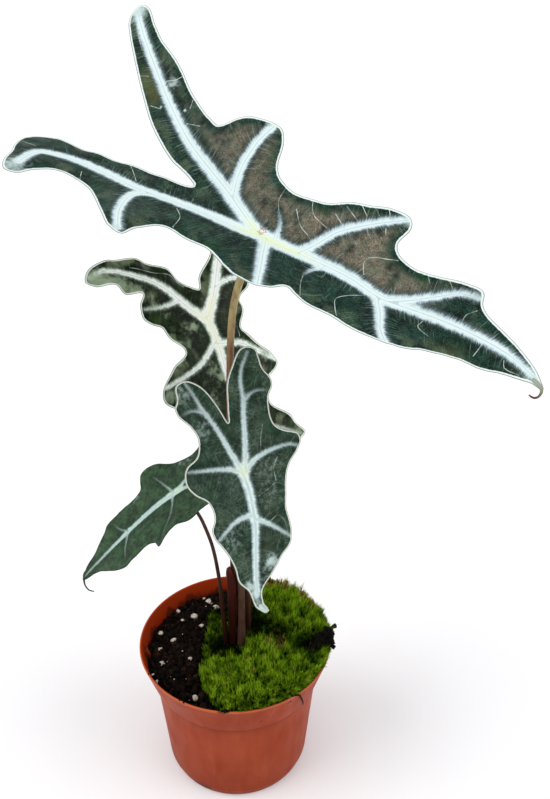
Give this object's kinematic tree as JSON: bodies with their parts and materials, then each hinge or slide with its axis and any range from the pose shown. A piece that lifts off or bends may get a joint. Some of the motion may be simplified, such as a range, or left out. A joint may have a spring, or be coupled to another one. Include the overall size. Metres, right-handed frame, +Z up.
{
  "type": "potted alocasia",
  "caption": "Young alocasia with arrow-shaped, silver-veined leaves on slender stalks, in a round terracotta-coloured nursery pot dressed with living moss.",
  "frame": {"origin": "centre of the underside of the pot, on the plane that the pot stands on", "axes": "+Z up along the pot's axis; +X to the right and +Y away from the viewer, as the plant is pictured; the largest leaf points to +X"},
  "size_m": [0.25, 0.2052, 0.4434],
  "materials": {
    "pot": "satin",
    "potting_mix": "matte",
    "moss": "matte",
    "rootstock": "matte",
    "sheath": "matte",
    "bark": "matte",
    "stalk": "satin",
    "leaf": "satin"
  },
  "bodies": {
    "root": {"pot": "pot", "potting_mix": "potting_mix", "moss_cushion": "moss", "rootstock": "rootstock", "cataphyll": "sheath", "bark_scrap": "bark", "petiole_crown": "stalk", "blade_crown": "leaf", "petiole_back": "stalk", "blade_back": "leaf", "petiole_front": "stalk", "blade_front": "leaf", "petiole_side": "stalk", "blade_side": "leaf"}
  },
  "joints": []
}
